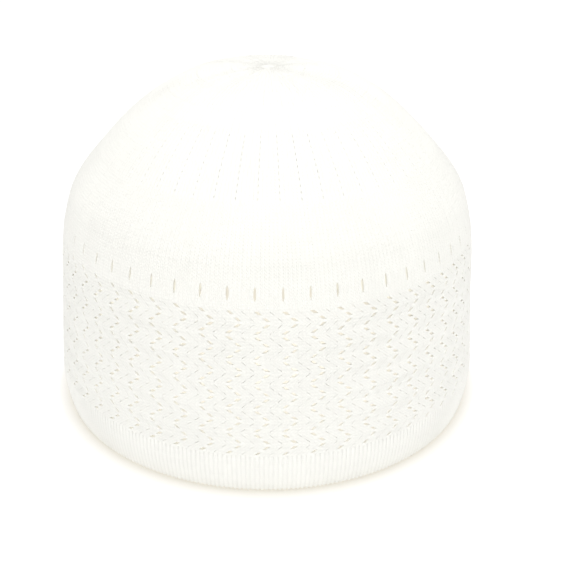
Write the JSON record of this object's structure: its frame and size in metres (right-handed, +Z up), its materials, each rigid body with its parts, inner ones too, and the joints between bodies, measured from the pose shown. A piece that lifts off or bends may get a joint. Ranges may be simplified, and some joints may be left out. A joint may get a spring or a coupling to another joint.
{
  "type": "knitted kufi cap",
  "caption": "Round white knitted kufi: a brimless cap with a turned hem, a zigzag lace band, a row of eyelets and a domed crown.",
  "frame": {"origin": "middle of the rim, on the surface that the cap rests on", "axes": "+Z up through the middle of the crown, -Y towards the front of the picture, +X to its right"},
  "size_m": [0.176, 0.176, 0.137],
  "materials": {
    "hem_knit": "matte white cotton, doubled ribbed knit",
    "lace_knit": "matte white cotton, open zigzag lace knit",
    "crown_knit": "matte white cotton, plain knit"
  },
  "bodies": {
    "root": {"hem": "hem_knit", "lace_band": "lace_knit", "crown": "crown_knit"}
  },
  "joints": []
}
